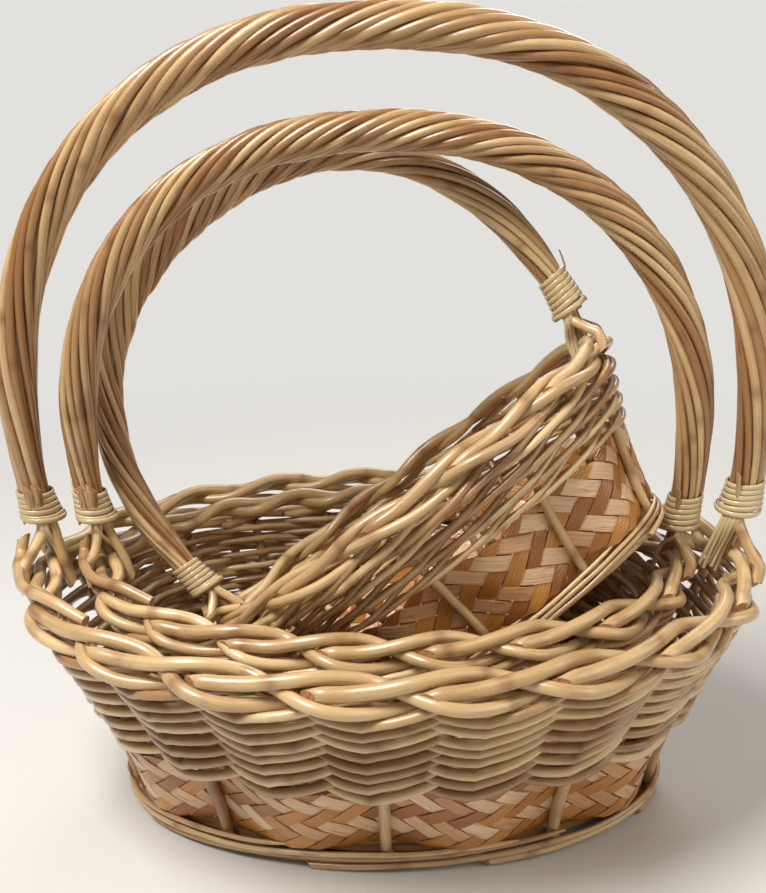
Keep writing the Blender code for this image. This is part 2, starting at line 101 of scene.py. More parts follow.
def angle_table(b):
    """Angles at even lengths round the rim, starting at the +X end."""
    long, wide = rim_axes(b)
    fine = [2 * math.pi * i / FINE_STEPS for i in range(FINE_STEPS + 1)]
    length = [0]
    for before, after in zip(fine, fine[1:]):
        along = long * (math.cos(after) - math.cos(before))
        across = wide * (math.sin(after) - math.sin(before))
        length.append(length[-1] + Vector((along, across)).length)
    table, i = [], 0
    count = STAKES * SPOTS_PER_STAKE
    for k in range(count + 1):
        target = length[-1] * k / count
        while i < FINE_STEPS - 1 and length[i + 1] < target:
            i += 1
        table.append(fine[i] + (fine[1] - fine[0]) * (target - length[i]) / (length[i + 1] - length[i]))
    return table


give(angles=[angle_table(basket) for basket in BASKETS.values()])


def angle_at(b, stake):
    """The oval's angle at a place round the basket, with the first stake half a gap past +X."""
    place = ((stake + 0.5) % STAKES) * SPOTS_PER_STAKE
    low = int(place)
    start, end = b["angles"][low], b["angles"][low + 1]
    return start + (end - start) * (place - low)


def ring_axes(b, height):
    """Half length and half width of the ring of stakes at a height."""
    top = border_bottom(b) + STAKE_SEAT_SHARE * b["border"]
    rise = max(0, (height - foot_top(b)) / (top - foot_top(b))) ** FLARE
    foot = [half - b["foot"] / 2 for half in b["base"]]
    return [low + (high - low) * rise for low, high in zip(foot, rim_axes(b))]


def wall(b, stake, height, out=0):
    """A point beside the wall, out being square to it, and that square direction."""
    angle = angle_at(b, stake)
    long, wide = ring_axes(b, height)
    above = ring_axes(b, height + PROBE)
    level = Vector((wide * math.cos(angle), long * math.sin(angle), 0)).normalized()
    growth = Vector(((above[0] - long) * math.cos(angle), (above[1] - wide) * math.sin(angle), 0))
    normal = (level - Vector((0, 0, growth.dot(level) / PROBE))).normalized()
    return Vector((long * math.cos(angle), wide * math.sin(angle), height)) + normal * out, normal


def beside_rim(b, stake, out, up):
    """A point beside the middle line of the border."""
    angle = angle_at(b, stake)
    long, wide = rim_axes(b)
    level = Vector((wide * math.cos(angle), long * math.sin(angle), 0)).normalized()
    middle = b["height"] - BORDER_REACH_SHARE * b["border"]
    return Vector((long * math.cos(angle), wide * math.sin(angle), middle + up)) + level * out


# Base boards.
# An oval of bare plywood closes the bottom of each basket, inside its stakes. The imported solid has
# the right shape, and gets the dull face and broad, long figure of sawn and sanded plywood.
def linear(code):
    """A colour written as sRGB hex, as the linear value that shaders take."""
    parts = [int(code[i:i + 2], 16) / 255 for i in (0, 2, 4)]
    return (*[p / 12.92 if p <= 0.04045 else ((p + 0.055) / 1.055) ** 2.4 for p in parts], 1)


def feed(tree, node, inputs):
    """Fills inputs, by name or in order, with constants, hex colours, sockets or nodes' first outputs."""
    for key, value in inputs.items() if isinstance(inputs, dict) else enumerate(inputs):
        socket = node.inputs[key]
        if isinstance(value, bpy.types.Node):
            value = next(out for out in value.outputs if out.enabled)
        if isinstance(value, bpy.types.NodeSocket):
            tree.links.new(value, socket)
        else:
            socket.default_value = linear(value) if socket.type == "RGBA" else value


def add(tree, kind, inputs=(), **settings):
    """Adds a node with its settings and its inputs."""
    node = tree.nodes.new(kind)
    for name, value in settings.items():
        setattr(node, name, value)
    feed(tree, node, inputs)
    return node


def new_finish(name):
    """An empty material, with its tree and its Principled shader."""
    finish = bpy.data.materials.new(name)
    finish.use_nodes = True
    return finish, finish.node_tree, finish.node_tree.nodes["Principled BSDF"]


def plywood_finish():
    finish, tree, shader = new_finish("bare_plywood")
    where = add(tree, "ShaderNodeTexCoord").outputs["Object"]
    # Figure about 120 mm long and 10 mm wide
    long = add(tree, "ShaderNodeMapping", {0: where, 3: (6, 70, 70)})
    figure = add(tree, "ShaderNodeTexNoise", {0: long, "Scale": 1.4, "Detail": 5})
    colour = add(tree, "ShaderNodeMix", {0: figure, 6: "8E5F35", 7: "C49763"}, data_type="RGBA")
    feed(tree, shader, {"Base Color": colour, "Roughness": 0.62})
    return finish


PLYWOOD = plywood_finish()
for name in BASKETS:
    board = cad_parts[name + "_base_board"]
    board.data.materials.clear()
    board.data.materials.append(PLYWOOD)


# Stakes and foot.
# Eighteen upright willow rods stand round the board. Below it each one is turned flat and laid
# past the next two, so that the overlapping ends make the ring that the basket stands on.
def darken(tree, colour, pattern, low, high, share, dark):
    """Mixes in a dark colour, up to a share of it, as a pattern rises from low to high."""
    amount = add(tree, "ShaderNodeMapRange", {0: pattern, 1: low, 2: high, 4: share},
                 interpolation_type="SMOOTHSTEP")
    return add(tree, "ShaderNodeMix", {0: amount, 6: colour, 7: dark}, data_type="RGBA")


def willow_finish():
    """Peeled willow under gloss varnish, with fine streaks along the smooth skin. Each rod has its
    own tone from brown to straw, with a few dark specks and a darker ring at each knot."""
    finish, tree, shader = new_finish("varnished_peeled_willow")
    tone = add(tree, "ShaderNodeAttribute", attribute_name="tone").outputs["Fac"]
    knot = add(tree, "ShaderNodeAttribute", attribute_name="knot").outputs["Fac"]
    skin = add(tree, "ShaderNodeAttribute", attribute_name="grain").outputs["Vector"]
    # Streaks about 28 mm long, stained patches about 26 mm across, specks about 7 mm long
    grain = add(tree, "ShaderNodeMapping", {0: skin, 3: (1.4, 1.4, 16)})
    streak = add(tree, "ShaderNodeTexNoise", {0: grain, "Scale": 2.2, "Detail": 4, "Roughness": 0.6})
    where = add(tree, "ShaderNodeTexCoord").outputs["Object"]
    patch = add(tree, "ShaderNodeTexNoise", {0: where, "Scale": 38, "Detail": 3})
    speck = add(tree, "ShaderNodeTexNoise", {0: grain, "Scale": 9, "Detail": 2})
    colour = add(tree, "ShaderNodeMix", {0: tone, 6: "8F5C28", 7: "E4C792"}, data_type="RGBA")
    colour = darken(tree, colour, streak, 0.42, 0.72, 0.38, "8F5C28")
    colour = darken(tree, colour, patch, 0.52, 0.80, 0.55, "7A441A")
    ring = add(tree, "ShaderNodeMath", (knot, 0.62), operation="MULTIPLY")
    colour = add(tree, "ShaderNodeMix", {0: ring, 6: colour, 7: "7A441A"}, data_type="RGBA")
    colour = darken(tree, colour, speck, 0.70, 0.76, 1, "6A3F1C")
    gloss = add(tree, "ShaderNodeMapRange", (streak, 0.3, 0.7, 0.34, 0.48))
    bump = add(tree, "ShaderNodeBump", {"Height": streak, "Strength": 0.35, "Distance": 0.0004})
    feed(tree, shader, {"Base Color": colour, "Roughness": gloss, "Normal": bump,
                        "Coat Weight": 1.0, "Coat Roughness": 0.25})
    return finish


def cut_finish():
    """The cut end of a rod: dull, rusty, unvarnished wood with its fibres end on."""
    finish, tree, shader = new_finish("cut_willow_end")
    where = add(tree, "ShaderNodeTexCoord").outputs["Object"]
    # Real fibres are finer than this millimetre, which is as fine as the render shows
    fibre = add(tree, "ShaderNodeTexNoise", {0: where, "Scale": 900, "Detail": 3})
    share = add(tree, "ShaderNodeMapRange", (fibre, 0.3, 0.7), interpolation_type="SMOOTHSTEP")
    colour = add(tree, "ShaderNodeMix", {0: share, 6: "94623A", 7: "C99C6C"}, data_type="RGBA")
    feed(tree, shader, {"Base Color": colour, "Roughness": 0.72})
    return finish


def new_tree(name, inputs):
    """An empty geometry tree with its group input and its named inputs."""
    tree = bpy.data.node_groups.new(name, "GeometryNodeTree")
    tree.interface.new_socket("Geometry", in_out="INPUT", socket_type="NodeSocketGeometry")
    for label, kind in inputs.items():
        tree.interface.new_socket(label, in_out="INPUT", socket_type="NodeSocket" + kind)
    tree.interface.new_socket("Geometry", in_out="OUTPUT", socket_type="NodeSocketGeometry")
    return tree, add(tree, "NodeGroupInput").outputs


def skin_lines(tree, line, profile, given, slant=0.0):
    """Sweeps a profile along lines, cuts their starts at a slant and gives skin and cut ends."""
    line = add(tree, "GeometryNodeStoreNamedAttribute", data_type="FLOAT_VECTOR", inputs={
        0: line, "Name": "way", "Value": add(tree, "GeometryNodeInputTangent")})
    thickness = add(tree, "GeometryNodeInputNamedAttribute", {"Name": "thickness"})
    body = add(tree, "GeometryNodeCurveToMesh", {
        "Curve": line, "Profile Curve": profile, "Scale": thickness, "Fill Caps": True})
    round_spot = add(tree, "GeometryNodeInputNamedAttribute", {"Name": "round"}, data_type="FLOAT_VECTOR")
    around = add(tree, "ShaderNodeSeparateXYZ", (round_spot,)).outputs
    along = add(tree, "GeometryNodeInputNamedAttribute", {"Name": "along"})
    grain = add(tree, "ShaderNodeCombineXYZ", (around[0], around[1], along))
    body = add(tree, "GeometryNodeStoreNamedAttribute", data_type="FLOAT_VECTOR", inputs={
        0: body, "Name": "grain", "Value": grain})
    slope = add(tree, "ShaderNodeMath", (around[0], thickness), operation="MULTIPLY")
    slope = add(tree, "ShaderNodeMath", (slope, slant), operation="MULTIPLY")
    way = add(tree, "GeometryNodeInputNamedAttribute", {"Name": "way"}, data_type="FLOAT_VECTOR")
    shift = add(tree, "ShaderNodeVectorMath", {0: way, 3: slope}, operation="SCALE")
    starts = add(tree, "ShaderNodeMath", (along, 0.00001), operation="LESS_THAN")
    body = add(tree, "GeometryNodeSetPosition", {"Geometry": body, "Selection": starts, "Offset": shift})
    # A cap has more corners than the four of a face on the side
    corners = add(tree, "GeometryNodeInputMeshFaceNeighbors")
    caps = add(tree, "ShaderNodeMath", (corners, 4.5), operation="GREATER_THAN")
    sides = add(tree, "ShaderNodeMath", (1, caps), operation="SUBTRACT")
    body = add(tree, "GeometryNodeSetShadeSmooth", {"Geometry": body, "Selection": sides})
    body = add(tree, "GeometryNodeRealizeInstances", {"Geometry": body})
    body = add(tree, "GeometryNodeSetMaterial", {"Geometry": body, "Material": given["Skin"]})
    body = add(tree, "GeometryNodeSetMaterial", {
        "Geometry": body, "Selection": caps, "Material": given["Cut End"]})
    add(tree, "NodeGroupOutput", (body,))


KNOT_SHARPNESS = 260
CROOKS_PER_METRE = 26
KNOT_SHIFT, CROOK_SHIFT = 7.3, 57


def grow_rods_tree():
    """Gives each line knots, a slight crookedness, a round skin and two cut ends. Its tone also shifts
    its knots and its crooks, so that no two rods are alike."""
    tree, given = new_tree("grow_rods", {
        "Sides": "Int", "Crookedness": "Float", "Knot Spacing": "Float", "Knot Swelling": "Float",
        "Cut Slant": "Float", "Skin": "Material", "Cut End": "Material"})
    line = add(tree, "GeometryNodeMeshToCurve", {0: given["Geometry"]})
    along = add(tree, "GeometryNodeSplineParameter").outputs["Length"]
    tone = add(tree, "GeometryNodeInputNamedAttribute", {"Name": "tone"})
    spacings = add(tree, "ShaderNodeMath", (along, given["Knot Spacing"]), operation="DIVIDE")
    shifted = add(tree, "ShaderNodeMath", (tone, KNOT_SHIFT), operation="MULTIPLY")
    spacings = add(tree, "ShaderNodeMath", (spacings, shifted), operation="ADD")
    joint = add(tree, "ShaderNodeMath", (spacings,), operation="FRACT")
    away = add(tree, "ShaderNodeMath", (joint, 0.5), operation="SUBTRACT")
    sharpness = add(tree, "ShaderNodeMath", (given["Knot Spacing"], KNOT_SHARPNESS), operation="MULTIPLY")
    away = add(tree, "ShaderNodeMath", (away, sharpness), operation="MULTIPLY")
    knot = add(tree, "ShaderNodeMath", (away, away), operation="MULTIPLY")
    knot = add(tree, "ShaderNodeMath", (knot, -1), operation="MULTIPLY")
    knot = add(tree, "ShaderNodeMath", (knot,), operation="EXPONENT")
    swell = add(tree, "ShaderNodeMath", (knot, given["Knot Swelling"], 1), operation="MULTIPLY_ADD")
    radius = add(tree, "GeometryNodeInputNamedAttribute", {"Name": "radius"})
    thickness = add(tree, "ShaderNodeMath", (radius, swell), operation="MULTIPLY")
    for label, value in (("along", along), ("knot", knot), ("thickness", thickness)):
        line = add(tree, "GeometryNodeStoreNamedAttribute", {0: line, "Name": label, "Value": value},
                   data_type="FLOAT")
    place = add(tree, "GeometryNodeInputPosition")
    place = add(tree, "ShaderNodeVectorMath", {0: place, 3: CROOKS_PER_METRE}, operation="SCALE")
    shifted = add(tree, "ShaderNodeMath", (tone, CROOK_SHIFT), operation="MULTIPLY")
    place = add(tree, "ShaderNodeVectorMath", (place, shifted))
    wave = add(tree, "ShaderNodeTexNoise", {"Vector": place, "Scale": 1, "Detail": 1}).outputs["Color"]
    wave = add(tree, "ShaderNodeVectorMath", (wave, (0.5, 0.5, 0.5)), operation="SUBTRACT")
    wave = add(tree, "ShaderNodeVectorMath", {0: wave, 3: given["Crookedness"]}, operation="SCALE")
    line = add(tree, "GeometryNodeSetPosition", {"Geometry": line, "Offset": wave})
    circle = add(tree, "GeometryNodeCurvePrimitiveCircle", {"Resolution": given["Sides"], "Radius": 1})
    circle = add(tree, "GeometryNodeStoreNamedAttribute", data_type="FLOAT_VECTOR", inputs={
        0: circle, "Name": "round", "Value": add(tree, "GeometryNodeInputPosition")})
    skin_lines(tree, line, circle, given, given["Cut Slant"])
    return tree


def line_mesh(name, lines, place):
    """Lines as a mesh of edges. A line is (points, radii, tone, facings or None)."""
    points, edges, radii, tones, facings = [], [], [], [], []
    for spots, widths, tone, faces in lines:
        first = len(points)
        points += [place @ spot for spot in spots]
        radii += widths
        tones += [tone] * len(spots)
        facings += [place.to_3x3() @ face for face in faces or [Vector((0, 0, 1))] * len(spots)]
        edges += [(first + i, first + i + 1) for i in range(len(spots) - 1)]
    mesh = bpy.data.meshes.new(name)
    mesh.from_pydata(points, edges, [])
    for label, values in (("radius", radii), ("tone", tones)):
        mesh.attributes.new(label, "FLOAT", "POINT").data.foreach_set("value", values)
    flat = [part for face in facings for part in face]
    mesh.attributes.new("facing", "FLOAT_VECTOR", "POINT").data.foreach_set("vector", flat)
    return mesh


def grow(name, mesh, tree, values):
    """Runs a tree on a mesh once and keeps the result as one plain mesh object."""
    piece = bpy.data.objects.new(name, mesh)
    bpy.context.scene.collection.objects.link(piece)
    modifier = piece.modifiers.new(tree.name, "NODES")
    modifier.node_group = tree
    sockets = {item.name: item.identifier for item in tree.interface.items_tree if item.in_out == "INPUT"}
    for label, value in values.items():
        modifier[sockets[label]] = value
    piece.update_tag()
    grown = bpy.data.meshes.new_from_object(piece.evaluated_get(bpy.context.evaluated_depsgraph_get()))
    piece.modifiers.clear()
    piece.data = grown
    bpy.data.meshes.remove(mesh)
    return piece


def rods(name, lines, place, sides=8, crooked=0.0012, knots=0.09, swelling=0.10, slant=0.8):
    """Willow rods along lines."""
    return grow(name, line_mesh(name, lines, place), ROD_TREE, {
        "Sides": sides, "Crookedness": crooked, "Knot Spacing": knots, "Knot Swelling": swelling,
        "Cut Slant": slant, "Skin": WILLOW, "Cut End": CUT})


def settle(piece, name, slot, *starts):
    """Puts a piece on its basket's body, in place of the CAD nodes whose names start with these words."""
    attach(piece, name + "_basket")
    nodes = [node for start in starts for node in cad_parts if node.startswith(name + "_" + start)]
    if nodes:
        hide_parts(*nodes)


def smooth(value):
    """Rises from 0 to 1 with soft ends, and stays there on both sides."""
    value = min(1, max(0, value))
    return value * value * (3 - 2 * value)


def drift(seed, where):
    """A smooth random value from -1 to 1, for small unevenness along a rod."""
    return noise.noise(Vector((where, seed * 3.7, 0.5)))


UPRIGHT_STEPS, LAID_STEPS, FOOT_ROD_STEPS = 13, 24, 64
BEND_OVER_RING = 0.004
OFF_FLOOR = 0.0008
FOOT_RODS = 9


def stake_lines(b, dice):
    """Each stake runs down from the border, and its end is turned and laid round under the board."""
    lines = []
    radius = b["stake"] / 2
    for k in range(STAKES):
        shift = dice.uniform(-0.02, 0.02)
        points, widths = [], []
        # Every seventh one stands up into the border
        top = border_bottom(b) + (1.05 if k % 7 == 2 else 0.3) * b["border"]
        for i in range(UPRIGHT_STEPS + 1):
            height = top + (foot_top(b) + BEND_OVER_RING - top) * i / UPRIGHT_STEPS
            points.append(wall(b, k + shift, height)[0])
            widths.append(radius * (0.96 + 0.1 * i / UPRIGHT_STEPS))
        reach = 2.4 + dice.uniform(-0.2, 0.15)
        for i in range(1, LAID_STEPS + 1):
            share = i / LAID_STEPS
            turn = smooth(share * 5)
            half = radius * (1.0 - 0.55 * share)
            out = turn * b["foot"] * (0.12 - 0.40 * share)
            low = half + OFF_FLOOR
            height = (foot_top(b) - half) * (1 - share) + low * share - OFF_FLOOR * turn
            points.append(wall(b, k + shift + reach * share, max(height, low), out)[0])
            widths.append(half if i < LAID_STEPS else half * 0.6)
        lines.append((points, widths, dice.random(), None))
    return lines


def foot_rod_lines(b, dice):
    """Thin rods laid loosely round the outside of the foot, each climbing slowly over the next one."""
    lines = []
    low = 0.30 * b["foot"]
    high = chip_bottom(b) + 0.35 * b["stake"]
    for n in range(FOOT_RODS):
        start = STAKES * n / FOOT_RODS + dice.uniform(-0.5, 0.5)
        reach = dice.uniform(5.2, 6.4)
        points, widths = [], []
        for i in range(FOOT_ROD_STEPS + 1):
            share = i / FOOT_ROD_STEPS
            half = b["stake"] * (0.34 - 0.14 * share)
            height = low + (high - low) * share + 0.16 * b["stake"] * drift(n, share * 7)
            out = ((b["foot"] / 2 - 0.4 * half) * (1 - share) + (b["stake"] / 2 + 1.1 * half) * share
                   + 0.35 * half * drift(n + FOOT_RODS, share * 6))
            points.append(wall(b, start + reach * share, height, out)[0])
            widths.append(half * (1 - 0.6 * smooth(share * 30 - 29)))
        lines.append((points, widths, dice.uniform(0.2, 1), None))
    return lines


WILLOW = willow_finish()
CUT = cut_finish()
ROD_TREE = grow_rods_tree()
for name, b in BASKETS.items():
    dice = random.Random("foot of " + name)
    piece = rods(name + "_willow_stakes", stake_lines(b, dice) + foot_rod_lines(b, dice), b["place"], sides=9)
    settle(piece, name, "varnished_willow", "stakes_and_foot", "foot_rod")


# Chip band.
# Two sets of shaved poplar ribbons cross at a slant, over two and under two, and fold back at both
# edges. The band is bent round the wall, behind one stake and in front of the next.
CHIP_THICK = 0.0009
CHIP_LIFT = 0.0008
STRIPS_CROSSED = 8
BAND_COLUMNS, BAND_LEVELS = STAKES * 12, 13
BAND_MARGIN = 0.2143


def chip_finish():
    """Shaved poplar under satin varnish. The ribbons that lean one way are orange and smooth, and those that
    lean the other way are pinkish and paler, with painted sheen in their pale colour and with ridges along
    them that the blade has torn up."""
    finish, tree, shader = new_finish("shaved_wood_chip")
    tone = add(tree, "ShaderNodeAttribute", attribute_name="tone").outputs["Fac"]
    family = add(tree, "ShaderNodeAttribute", attribute_name="family").outputs["Fac"]
    grain = add(tree, "ShaderNodeAttribute", attribute_name="grain").outputs["Vector"]
    # Ridges about 0.9 mm apart and 36 mm long, and marks about 4 mm wide and 17 mm long
    fine = add(tree, "ShaderNodeMapping", {0: grain, 3: (1100, 28, 31)})
    ridge = add(tree, "ShaderNodeTexNoise", {0: fine, "Scale": 1, "Detail": 3, "Roughness": 0.55})
    coarse = add(tree, "ShaderNodeMapping", {0: grain, 3: (260, 60, 17)})
    figure = add(tree, "ShaderNodeTexNoise", {0: coarse, "Scale": 1, "Detail": 2})
    orange = add(tree, "ShaderNodeMix", {0: tone, 6: "93561F", 7: "C98C42"}, data_type="RGBA")
    # The pale colour of the ribbons that lean the other way is pinkish wood with a painted sheen on it
    pink_and_sheen = add(tree, "ShaderNodeMix", {0: tone, 6: "D19C6A", 7: "FFDFB8"}, data_type="RGBA")
    colour = add(tree, "ShaderNodeMix", {0: family, 6: orange, 7: pink_and_sheen}, data_type="RGBA")
    colour = darken(tree, colour, ridge, 0.40, 0.66, 0.28, "80491F")
    colour = darken(tree, colour, figure, 0.56, 0.74, 0.5, "8E4E20")
    depth = add(tree, "ShaderNodeMath", (family, 0.8, 0.2), operation="MULTIPLY_ADD")
    bump = add(tree, "ShaderNodeBump", {"Height": ridge, "Strength": depth, "Distance": 0.0008})
    feed(tree, shader, {"Base Color": colour, "Roughness": 0.34, "Normal": bump,
                        "Coat Weight": 0.45, "Coat Roughness": 0.22})
    return finish


def weave_chips_tree():
    """Lays two sets of slanted ribbons on a bent sheet. Each ribbon is a flat grid, whose place on
    the sheet is worked out along (u) and up (v) the band and then looked up in the sheet's own map."""
    tree, given = new_tree("weave_chips", {
        "Strips": "Int", "Slant": "Float", "Lift": "Float", "Strip Pitch": "Float", "Rise": "Float",
        "Thickness": "Float", "Seed": "Int", "Chip": "Material"})

    # One flat grid for each ribbon, numbered and given a tone
    both = add(tree, "ShaderNodeMath", (given["Strips"], 2), operation="MULTIPLY")
    spots = add(tree, "GeometryNodePoints", {"Count": both})
    sheet = add(tree, "GeometryNodeMeshGrid", {"Size X": 1, "Size Y": 1, "Vertices X": 5, "Vertices Y": 29})
    strips = add(tree, "GeometryNodeInstanceOnPoints", {"Points": spots, "Instance": sheet.outputs[0]})
    index = add(tree, "GeometryNodeInputIndex")
    tone = add(tree, "FunctionNodeRandomValue", {"Seed": given["Seed"], "ID": index}, data_type="FLOAT")
    for label, value in (("strip", index), ("tone", tone.outputs[1])):
        strips = add(tree, "GeometryNodeStoreNamedAttribute", {0: strips, "Name": label, "Value": value},
                     data_type="FLOAT", domain="INSTANCE")
    strips = add(tree, "GeometryNodeRealizeInstances", {"Geometry": strips})

    # The set that a ribbon belongs to, its number there, and its place across and up
    strip = add(tree, "GeometryNodeInputNamedAttribute", {"Name": "strip"})
    last = add(tree, "ShaderNodeMath", (given["Strips"], 0.5), operation="SUBTRACT")
    family = add(tree, "ShaderNodeMath", (strip, last), operation="GREATER_THAN")
    side = add(tree, "ShaderNodeMath", (family, -2, 1), operation="MULTIPLY_ADD")
    before = add(tree, "ShaderNodeMath", (family, given["Strips"]), operation="MULTIPLY")
    number = add(tree, "ShaderNodeMath", (strip, before), operation="SUBTRACT")
    flat = add(tree, "ShaderNodeSeparateXYZ", (add(tree, "GeometryNodeInputPosition"),)).outputs
    tone = add(tree, "GeometryNodeInputNamedAttribute", {"Name": "tone"})
    width = add(tree, "ShaderNodeMath", (tone, 0.12, 0.84), operation="MULTIPLY_ADD")
    across = add(tree, "ShaderNodeMath", (flat[0], width), operation="MULTIPLY")
    up = add(tree, "ShaderNodeMath", (flat[1], 0.5), operation="ADD")
    slant = add(tree, "ShaderNodeMath", (side, given["Slant"]), operation="MULTIPLY")
    slant = add(tree, "ShaderNodeMath", (slant, up), operation="MULTIPLY")
    u = add(tree, "ShaderNodeMath", (number, across), operation="ADD")
    u = add(tree, "ShaderNodeMath", (u, slant), operation="ADD")

    # Over two and under two, flat at both edges of the band
    crossing = add(tree, "ShaderNodeMath", (u, slant), operation="ADD")
    crossing = add(tree, "ShaderNodeMath", (crossing, number), operation="SUBTRACT")
    crossing = add(tree, "ShaderNodeMath", (crossing, math.pi / 2), operation="MULTIPLY")
    phase = add(tree, "ShaderNodeMath", (side, math.pi / 4, crossing), operation="MULTIPLY_ADD")
    over = add(tree, "ShaderNodeMath", (phase,), operation="SINE")
    over = add(tree, "ShaderNodeMath", (over, 2.2), operation="MULTIPLY")
    over = add(tree, "ShaderNodeMath", (over,), operation="TANH")
    down = add(tree, "ShaderNodeMath", (1, up), operation="SUBTRACT")
    edge = add(tree, "ShaderNodeMath", (up, down), operation="MULTIPLY")
    edge = add(tree, "ShaderNodeMath", (edge, 14), operation="MULTIPLY")
    edge = add(tree, "ShaderNodeMath", (edge, 1), operation="MINIMUM")
    lift = add(tree, "ShaderNodeMath", (over, edge), operation="MULTIPLY")
    lift = add(tree, "ShaderNodeMath", (lift, given["Lift"]), operation="MULTIPLY")

    # The folds at the edges come to a point in the middle of each ribbon
    beside = add(tree, "ShaderNodeMath", (flat[0],), operation="ABSOLUTE")
    pointed = add(tree, "ShaderNodeMath", (0.5, beside), operation="SUBTRACT")
    v = add(tree, "ShaderNodeMath", (up, 0.5), operation="SUBTRACT")
    v = add(tree, "ShaderNodeMath", (v, pointed), operation="MULTIPLY")
    v = add(tree, "ShaderNodeMath", (v, 0.14, up), operation="MULTIPLY_ADD")

    # The place in the sheet's map, and from it the place and the square direction in space
    around = add(tree, "ShaderNodeMath", (u, given["Strips"]), operation="FLOORED_MODULO")
    around = add(tree, "ShaderNodeMath", (around, given["Strips"]), operation="DIVIDE")
    level = add(tree, "ShaderNodeMath", (v, 0.7, 0.15), operation="MULTIPLY_ADD")
    look = add(tree, "ShaderNodeCombineXYZ", (around, level))
    band = add(tree, "GeometryNodeInputNamedAttribute", {"Name": "band"}, data_type="FLOAT_VECTOR")
    out = add(tree, "GeometryNodeInputNamedAttribute", {"Name": "out"}, data_type="FLOAT_VECTOR")
    place, square = [add(tree, "GeometryNodeSampleUVSurface", data_type="FLOAT_VECTOR", inputs={
        "Mesh": given["Geometry"], "Value": value, "UV Map": band, "Sample UV": look}).outputs[0]
        for value in (add(tree, "GeometryNodeInputPosition"), out)]
    raised = add(tree, "ShaderNodeVectorMath", {0: square, 3: lift}, operation="SCALE")
    place = add(tree, "ShaderNodeVectorMath", (place, raised))

    # The grain in metres, the ribbons put in place and thickened, and their finish
    grain_across = add(tree, "ShaderNodeMath", (across, given["Strip Pitch"]), operation="MULTIPLY")
    grain_along = add(tree, "ShaderNodeMath", (up, given["Rise"]), operation="MULTIPLY")
    grain = add(tree, "ShaderNodeCombineXYZ", (grain_across, grain_along, strip))
    for label, value, kind in (("grain", grain, "FLOAT_VECTOR"), ("family", family, "FLOAT")):
        strips = add(tree, "GeometryNodeStoreNamedAttribute", {0: strips, "Name": label, "Value": value},
                     data_type=kind)
    strips = add(tree, "GeometryNodeSetPosition", {"Geometry": strips, "Position": place})
    thick = add(tree, "GeometryNodeExtrudeMesh", {
        "Mesh": strips, "Offset Scale": given["Thickness"], "Individual": False})
    whole = add(tree, "GeometryNodeJoinGeometry")
    for part in (add(tree, "GeometryNodeFlipFaces", (strips,)), thick):
        feed(tree, whole, (part,))
    whole = add(tree, "GeometryNodeMergeByDistance", {"Geometry": whole, "Distance": 0.00001})
    whole = add(tree, "GeometryNodeRealizeInstances", {"Geometry": whole})
    whole = add(tree, "GeometryNodeSetMaterial", {"Geometry": whole, "Material": given["Chip"]})
    add(tree, "NodeGroupOutput", (whole,))
    return tree


def band_surface(b):
    """The bent sheet that the chips lie on, a little taller than the band, with its square direction."""
    reach = b["stake"] / 2 + 0.0013
    points, normals, faces, places = [], [], [], []
    for i in range(BAND_COLUMNS + 1):
        stake = STAKES * i / BAND_COLUMNS
        for j in range(BAND_LEVELS):
            v = -BAND_MARGIN + (1 + 2 * BAND_MARGIN) * j / (BAND_LEVELS - 1)
            height = chip_bottom(b) + 0.002 + (b["chips"] - 0.004) * v
            point, normal = wall(b, stake, height, reach * math.cos(math.pi * stake))
            points.append(b["place"] @ point)
            normals.append(b["place"].to_3x3() @ normal)
            places.append((i / BAND_COLUMNS, j / (BAND_LEVELS - 1)))
    for i in range(BAND_COLUMNS):
        for j in range(BAND_LEVELS - 1):
            low = i * BAND_LEVELS + j
            faces.append((low, low + BAND_LEVELS, low + BAND_LEVELS + 1, low + 1))
    mesh = bpy.data.meshes.new(b["label"] + "_band_surface")
    mesh.from_pydata(points, [], faces)
    band = mesh.attributes.new("band", "FLOAT2", "CORNER")
    for loop in mesh.loops:
        band.data[loop.index].vector = places[loop.vertex_index]
    out = mesh.attributes.new("out", "FLOAT_VECTOR", "POINT")
    out.data.foreach_set("vector", [part for normal in normals for part in normal])
    return mesh


CHIP = chip_finish()
CHIP_TREE = weave_chips_tree()
for name, b in BASKETS.items():
    long, wide = ring_axes(b, (chip_bottom(b) + chip_top(b)) / 2)
    round_wall = math.pi * (3 * (long + wide) - math.sqrt((3 * long + wide) * (long + 3 * wide)))
    pitch = b["chips"] * 2.38 / STRIPS_CROSSED
    count = 4 * round(round_wall / pitch / 4)
    piece = grow(name + "_chip_plait", band_surface(b), CHIP_TREE, {
        "Strips": count, "Slant": STRIPS_CROSSED / 2, "Lift": CHIP_LIFT, "Strip Pitch": pitch,
        "Rise": b["chips"] * 1.55, "Thickness": CHIP_THICK, "Seed": len(name), "Chip": CHIP})
    settle(piece, name, "wood_chip", "chip_band")


# Wall weave.
# Eighteen thin willow weavers start together, one behind each stake, and climb side by side in
# front of one stake and behind the next, with the cut ends of joined rods on the inside.

# Beats is the stakes that a full stroke takes. Kink is how far a rod climbs in steps and not evenly,
# and loose its unevenness. Fill is its thickness as a share of the spacing, and taper its thinning.
give(weaver=(0.0058, 0.0048, 0.0040),
     beats=(2, 2, 3),
     kink=(0.7, 0.3, 0.0),
     fill=((1.05, 1.16), (1.04, 1.16), (1.15, 1.3)),
     loose=(0.45, 0.3, 0.45),
     taper=(-0.16, -0.16, 0.40))
PACKED_SHARE = 0.92
SPOTS_PER_GAP = 8
JOINED_ENDS = 9


